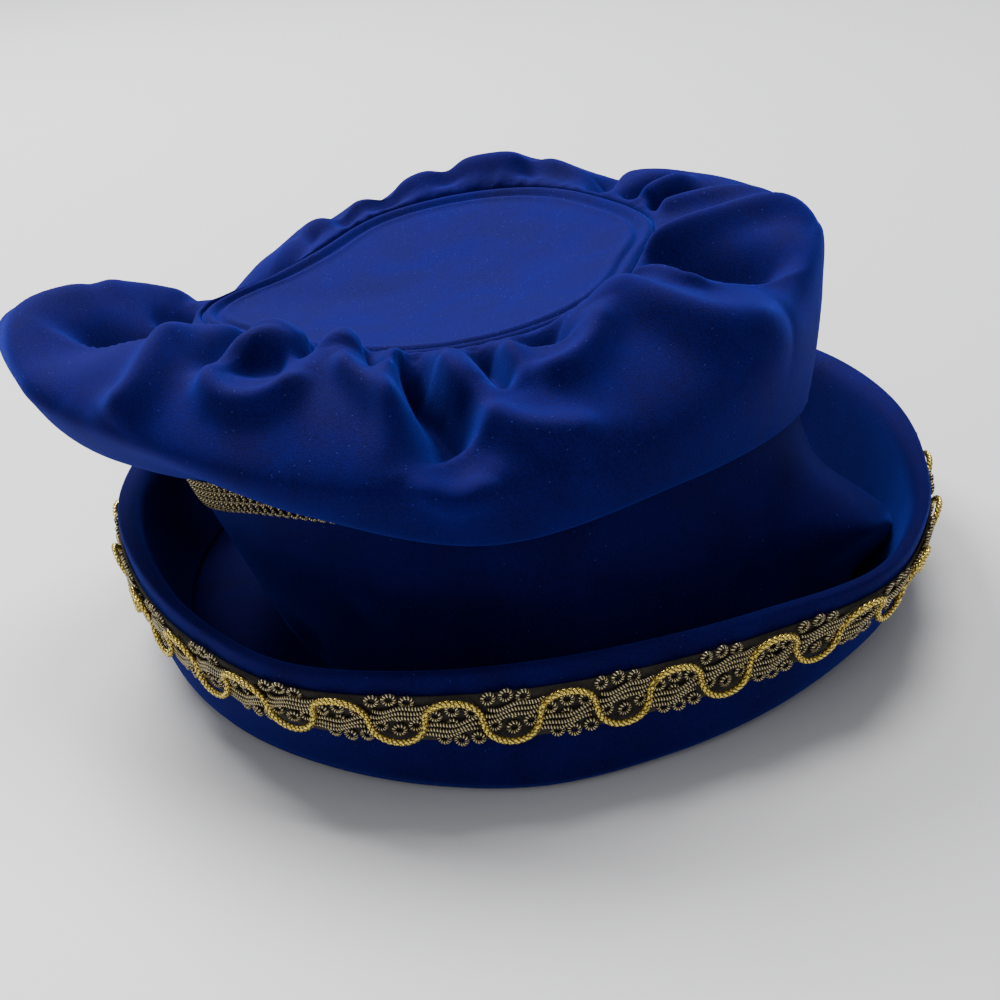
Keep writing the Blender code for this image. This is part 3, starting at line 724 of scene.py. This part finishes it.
# %% The brim's outline at one bearing
def brim_section(bearing):
    """The closed outline of the brim at one bearing, as radii and heights."""
    foot = float(brim_wall(bearing, 0.0))
    inner_edge = float(around(STAND, "foot", bearing)) - VELVET - 3.0
    lean = (float(brim_wall(bearing, EDGE_AT)) - foot) / EDGE_AT
    thick = float(around(BRIM, "thick", bearing))
    top = BRIM_HEIGHT
    return [
        (inner_edge, 0.0), (foot - 6.0, 0.0), (foot - 1.6, 1.7), (foot + 6.5 * lean, 6.5),
        (foot + 20 * lean, 20.0), (foot + (top - 3) * lean - 0.2, top - 3),
        (foot + top * lean - 2.4, top), (foot + (top - 3) * lean - thick + 0.3, top - 2.6),
        (foot + 20 * lean - thick, 20.0), (foot + 10 * lean - thick - 0.8, 10.0),
        (foot - thick - 2.0, 5.4), (foot - thick - 4.5, FLANGE_THICK), (inner_edge, FLANGE_THICK),
    ]


def refined(outline, between):
    """More points on an outline, on a smooth curve through its corners."""
    corners = np.array(outline)
    knots = np.arange(len(corners), dtype=float)
    at = np.linspace(0, len(corners) - 1, (len(corners) - 1) * between + 1)
    return np.stack([curve(knots, corners[:, k], at) for k in (0, 1)], axis=-1)


# %% Make the brim
BRIM_COLUMNS = 360
loops = np.array([refined(brim_section(angle), 5) for angle in bearings(BRIM_COLUMNS)])
loops[..., 1] = np.maximum(loops[..., 1], 0.0)
flat = outwards(bearings(BRIM_COLUMNS))[:, None, :] * loops[..., :1]
mesh = rolled(placed(np.concatenate([flat, loops[..., 1:]], axis=-1)))
# The brim velvet is a darker copy of the crown velvet: painted shade.
brim = finished("brim_velvet", mesh, velvets["brim"], ["brim"])

# %% [markdown]
# ## Threads
# Gimp braid is thread wound round a core and laid in loops. Each thread is a thin tube. A small
# grid is rolled round its path, and its UV map counts the length along the thread, so that the
# winding can be painted as dashes that follow the thread wherever it turns.

# %% A tube along a path
def thread(mesh, path, radius, sides, closed, flat=1.0):
    """Adds a tube round a path of points to a mesh. The map's U runs along it in the path's unit."""
    path = np.asarray(path, float)
    stops = len(path) if closed else len(path) - 1
    ahead = np.roll(path, -1, axis=0) - np.roll(path, 1, axis=0)
    if not closed:
        ahead[0], ahead[-1] = path[1] - path[0], path[-1] - path[-2]
    ahead /= np.linalg.norm(ahead, axis=1, keepdims=True)
    side = np.cross(ahead, (0.0, 0.0, 1.0))
    side /= np.linalg.norm(side, axis=1, keepdims=True)
    rise = np.cross(side, ahead)
    ring = np.concatenate([path, path[:1]]) if closed else path
    run = np.concatenate([[0], np.cumsum(np.linalg.norm(np.diff(ring, axis=0), axis=1))])
    uv = mesh.loops.layers.uv.verify()
    made = bmesh.ops.create_grid(mesh, x_segments=stops, y_segments=sides, size=0.5)["verts"]
    faces = {face for vertex in made for face in vertex.link_faces}
    for face in faces:
        for loop in face.loops:
            along = (loop.vert.co.x + 0.5) * stops
            loop[uv].uv = (run[round(along)], loop.vert.co.y + 0.5)
    for vertex in made:
        stop = round((vertex.co.x + 0.5) * stops)
        turn = (vertex.co.y + 0.5) * math.tau
        thin = 0.02 if not closed and stop in (0, stops) else 1.0
        stop %= len(path)
        push = side[stop] * math.cos(turn) + rise[stop] * math.sin(turn) * flat
        vertex.co = path[stop] + push * radius * thin


# %% [markdown]
# ## The finish of the threads
# The dark thread is wound with flat gilt wire, which shows as short slanting dashes. The
# scroll cord is gilt all over: its dark stripes between the turns are painted shade, and its plies shine
# one after another.

# %% Thread materials
def thread_material(name, dark, gold, pitch, share, metallic, roughness):
    """Dark thread with gilt dashes that follow the piece's own UV map, one for each pitch. For the gold
    cord the dark part is painted shade between the gilt turns.
    """
    material = bpy.data.materials.new(name)
    material.use_nodes = True
    tree = material.node_tree
    shader = tree.nodes["Principled BSDF"]
    place = link_new(tree, "ShaderNodeUVMap")
    parts = link_new(tree, "ShaderNodeSeparateXYZ")
    tree.links.new(place.outputs["UV"], parts.inputs["Vector"])
    slant = link_new(tree, "ShaderNodeMath", operation="MULTIPLY_ADD")
    slant.inputs[1].default_value = 1.0 / pitch
    tree.links.new(parts.outputs["X"], slant.inputs[0])
    tree.links.new(parts.outputs["Y"], slant.inputs[2])
    repeat = link_new(tree, "ShaderNodeMath", operation="FRACT")
    tree.links.new(slant.outputs[0], repeat.inputs[0])
    dash = link_new(tree, "ShaderNodeMapRange")
    dash.inputs["From Min"].default_value = share + 0.06
    dash.inputs["From Max"].default_value = share - 0.06
    tree.links.new(repeat.outputs[0], dash.inputs["Value"])
    colour = link_new(tree, "ShaderNodeMix", data_type="RGBA")
    colour.inputs["A"].default_value = (*dark, 1.0)
    colour.inputs["B"].default_value = (*gold, 1.0)
    tree.links.new(dash.outputs["Result"], colour.inputs["Factor"])
    tree.links.new(colour.outputs["Result"], shader.inputs["Base Color"])
    shine = link_new(tree, "ShaderNodeMath", operation="MULTIPLY")
    shine.inputs[1].default_value = metallic
    tree.links.new(dash.outputs["Result"], shine.inputs[0])
    tree.links.new(shine.outputs[0], shader.inputs["Metallic"])
    gloss = link_new(tree, "ShaderNodeMapRange")
    gloss.inputs["To Min"].default_value = 0.75
    gloss.inputs["To Max"].default_value = roughness
    tree.links.new(dash.outputs["Result"], gloss.inputs["Value"])
    tree.links.new(gloss.outputs["Result"], shader.inputs["Roughness"])
    bump = link_new(tree, "ShaderNodeBump")
    bump.inputs["Strength"].default_value = 0.6
    bump.inputs["Distance"].default_value = 0.0002
    tree.links.new(dash.outputs["Result"], bump.inputs["Height"])
    tree.links.new(bump.outputs["Normal"], shader.inputs["Normal"])
    return material


gimp_thread = thread_material(
    "gimp thread", (0.010, 0.007, 0.010), (0.82, 0.68, 0.34), 0.80, 0.34, 0.8, 0.34
)
# The gold cord's dark stripes are painted shade between its gilt turns.
gold_thread = thread_material(
    "gold thread with painted shade", (0.12, 0.07, 0.01), (0.95, 0.73, 0.15), 0.90, 0.64, 1.0, 0.24
)

# %% [markdown]
# ## The scroll
# The gold cord swings up and down along the braid. Its angle swings evenly along its length, as a
# river's bends do, so that its turns are round.

# %% The line of the scroll
SCROLL_SWING = math.radians(84.0)
SCROLL_SPREAD = 6.6
PERIOD = 30.0  # millimetres of braid to one repeat, before it is bent round the brim


def scroll_line(count):
    """One repeat of the scroll as places along the braid and heights over its middle."""
    fine = 400
    swing = SCROLL_SWING * np.cos(np.arange(fine) * math.tau / fine)
    across = np.concatenate([[0], np.cumsum(np.cos(swing))])
    climb = np.concatenate([[0], np.cumsum(np.sin(swing))])
    across = across / across[-1] * PERIOD
    climb = climb - (climb.max() + climb.min()) / 2
    climb = climb / climb.max() * SCROLL_SPREAD
    part = np.linspace(0, 1, fine + 1)
    at = np.arange(count) / count
    return np.interp(at, part, across), np.interp(at, part, climb)


def bent_round(points, lift):
    """Flat braid, as places along, heights and depths in millimetres, bent round the brim."""
    bearing = points[:, 0] / PERIOD * 360.0 / SCROLL_PERIODS
    height = (BRAID_HIGH + BRAID_LOW) / 2 + points[:, 1]
    radius = brim_wall(bearing, height) + lift + points[:, 2]
    return placed(np.concatenate([outwards(bearing) * radius[:, None], height[:, None]], axis=-1))


# %% Lay the rings and strands of one repeat of the gimp
GIMP_RADIUS = 0.62
Ring = namedtuple("Ring", "along height radius depth")
ARC_RINGS = [
    Ring(-4.9, 1.6, 1.45, 0.7), Ring(-0.3, 3.3, 1.5, 0.8), Ring(4.6, 2.2, 1.45, 0.7),
    Ring(-3.3, -6.0, 1.5, 0.55), Ring(1.2, -6.7, 1.5, 0.55), Ring(5.8, -6.1, 1.5, 0.55),
    Ring(-0.4, -1.2, 1.2, 0.5),
]
Strand = namedtuple("Strand", "start_along start_height end_along end_height depth")
ARC_STRANDS = [
    Strand(-9.5, -4.9, 6.5, -3.0, 1.35), Strand(-9.0, -3.4, 8.0, -1.3, 1.5),
    Strand(-8.0, -1.8, 9.0, 0.6, 1.35),
]


def ring_path(x, y, radius, depth, count=14):
    turn = np.arange(count) * math.tau / count
    rise = depth + 0.25 * np.cos(turn)
    return np.stack([x + radius * np.cos(turn), y + radius * np.sin(turn), rise], axis=-1)


def strand_path(strand, count=20):
    """A strand that swells up over the rings it crosses."""
    run = np.linspace(0, 1, count)
    x = strand.start_along + (strand.end_along - strand.start_along) * run
    y = strand.start_height + (strand.end_height - strand.start_height) * ease(run)
    y += 0.55 * np.sin(run * math.tau * 1.5)
    depth = strand.depth * np.sin(np.pi * np.clip(run, 0.06, 0.94)) ** 0.4
    return np.stack([x, y, depth], axis=-1)


repeat = bmesh.new()
for half in (0, 1):
    # the second half of a repeat is the first one turned upside down
    side = 1 - 2 * half
    middle = PERIOD * (0.25 + 0.5 * half)
    flip = np.array([side, side, 1.0])
    for ring in ARC_RINGS:
        path = ring_path(*ring) * flip + (middle, 0, 0)
        thread(repeat, path, GIMP_RADIUS, 6, True)
    for strand in ARC_STRANDS:
        thread(repeat, strand_path(strand) * flip + (middle, 0, 0), GIMP_RADIUS, 6, False)

# %% Repeat the gimp round the brim
base = list(repeat.verts) + list(repeat.edges) + list(repeat.faces)
for turn in range(1, SCROLL_PERIODS):
    copied = bmesh.ops.duplicate(repeat, geom=base)["geom"]
    fresh = [part for part in copied if isinstance(part, bmesh.types.BMVert)]
    bmesh.ops.translate(repeat, vec=(PERIOD * turn, 0, 0), verts=fresh)
bmesh.ops.remove_doubles(repeat, verts=repeat.verts, dist=1e-4)
flat = np.array([vertex.co[:] for vertex in repeat.verts])
for vertex, place in zip(repeat.verts, bent_round(flat, 0.9)):
    vertex.co = place
gimp = finished("gimp_loops", repeat, gimp_thread, ["brim_braid"])

# %% Twist the gold cord
cord_mesh = bmesh.new()
PLIES, PLY_RADIUS, CORD_RADIUS = 3, 0.56, 0.50
per_repeat = 72
xs, ys = scroll_line(per_repeat)
line = np.concatenate(
    [np.stack([xs + PERIOD * turn, ys], axis=-1) for turn in range(SCROLL_PERIODS)]
)
depth = 1.0 + 1.3 * np.abs(line[:, 1:] / SCROLL_SPREAD) ** 0.8
centre = bent_round(np.concatenate([line, depth], axis=1), 0.9) / MM
ahead = np.roll(centre, -1, axis=0) - np.roll(centre, 1, axis=0)
ahead /= np.linalg.norm(ahead, axis=1, keepdims=True)
level = centre[:, :2] + BOX_MIDDLE
out = np.concatenate([level / np.linalg.norm(level, axis=1, keepdims=True), 0 * level[:, :1]], axis=1)
side = np.cross(ahead, out)
side /= np.linalg.norm(side, axis=1, keepdims=True)
out = np.cross(side, ahead)
twists = SCROLL_PERIODS * 11
phase = np.arange(len(centre)) / len(centre) * math.tau * twists
for ply in range(PLIES):
    turn = phase + ply * math.tau / PLIES
    offset = side * np.cos(turn)[:, None] + out * np.sin(turn)[:, None]
    thread(cord_mesh, centre + CORD_RADIUS * offset, PLY_RADIUS, 5, True)
bmesh.ops.remove_doubles(cord_mesh, verts=cord_mesh.verts, dist=1e-4)
bmesh.ops.scale(cord_mesh, vec=(MM, MM, MM), verts=cord_mesh.verts)
gold_cord = finished("scroll_gold", cord_mesh, gold_thread, ["scroll_cord"])

# %% [markdown]
# ## The dark sheet under the braid
# A narrow black sheet behind the loops fills the gaps between them with painted shade.

# %% Make the sheet of painted shade
grid, height = np.meshgrid(bearings(360), np.linspace(BRAID_LOW + 1.5, BRAID_HIGH - 1.5, 5), indexing="ij")
walls = []
for proud in (0.9, 0.35):
    radius = brim_wall(grid, height) + proud
    walls.append(np.concatenate([outwards(grid) * radius[..., None], height[..., None]], axis=-1))
# The sheet's near black is painted shade in the gaps between the loops.
gap_shade_paint = bpy.data.materials.new("gap_shade_sheet")
gap_shade_paint.use_nodes = True
gap_shade_shader = gap_shade_paint.node_tree.nodes["Principled BSDF"]
gap_shade_shader.inputs["Roughness"].default_value = 0.9
weave = link_new(gap_shade_paint.node_tree, "ShaderNodeTexNoise")
weave.inputs["Scale"].default_value = 900.0
weave_place = link_new(gap_shade_paint.node_tree, "ShaderNodeTexCoord")
gap_shade_paint.node_tree.links.new(weave_place.outputs["Object"], weave.inputs["Vector"])
gap_shade_tone = link_new(gap_shade_paint.node_tree, "ShaderNodeMix", data_type="RGBA")
gap_shade_tone.inputs["A"].default_value = (0.004, 0.004, 0.006, 1.0)
gap_shade_tone.inputs["B"].default_value = (0.05, 0.04, 0.03, 1.0)
gap_shade_paint.node_tree.links.new(weave.outputs["Fac"], gap_shade_tone.inputs["Factor"])
gap_shade_paint.node_tree.links.new(gap_shade_tone.outputs["Result"], gap_shade_shader.inputs["Base Color"])
gap_shade_sheet = finished("braid_gap_shade", wall(*walls), gap_shade_paint, [])

# %% [markdown]
# ## The crown band
# A narrower braid of dense loops hides the seam between the stand and the puff. Only a short
# stretch of it shows, under the slouching side.

# %% Make the crown band
band_mesh = bmesh.new()
BAND_LOOPS = 190
BAND_PITCH = 3.1  # millimetres of band from one loop to the next
for index in range(BAND_LOOPS):
    for row, y in enumerate((-3.0, 0.0, 3.0)):
        shift = 0.5 * (row % 2)
        path = ring_path((index + shift) * BAND_PITCH, y, 1.75, 0.25, 10)
        thread(band_mesh, path, 0.5, 5, True)
flat = np.array([vertex.co[:] for vertex in band_mesh.verts])
bearing = flat[:, 0] / (BAND_LOOPS * BAND_PITCH) * 360.0
fall = 0.5 - flat[:, 1] / CROWN_BAND_WIDE
spots = stand_surface(bearing, band_step(bearing, fall))
spots[:, :2] += outwards(bearing) * (0.55 + flat[:, 2])[:, None]
for vertex, place in zip(band_mesh.verts, placed(spots)):
    vertex.co = place
bmesh.ops.remove_doubles(band_mesh, verts=band_mesh.verts, dist=1e-6)
crown_band = finished("crown_band_loops", band_mesh, gimp_thread, ["crown_band"])
